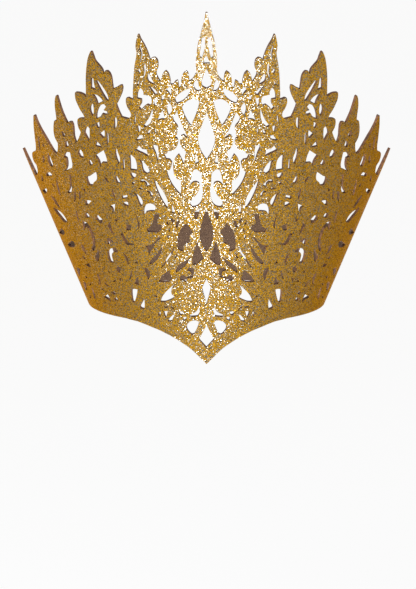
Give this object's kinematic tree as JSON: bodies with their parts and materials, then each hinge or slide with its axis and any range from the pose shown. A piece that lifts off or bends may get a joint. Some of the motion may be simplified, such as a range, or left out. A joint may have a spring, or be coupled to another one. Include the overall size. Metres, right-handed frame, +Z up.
{
  "type": "paper crown",
  "caption": "Tall party crown cut as leafy filigree from one sheet of thick gold glitter card and rolled into a flaring ring.",
  "frame": {"origin": "centre of the rim circle, the plane where the ring sits round the head", "axes": "+Z up along the axis of the cone, the tall front faces -Y"},
  "size_m": [0.2448, 0.267, 0.2413],
  "materials": {
    "glitter_card": "gold glitter"
  },
  "bodies": {
    "root": {"crown": "glitter_card"}
  },
  "joints": []
}
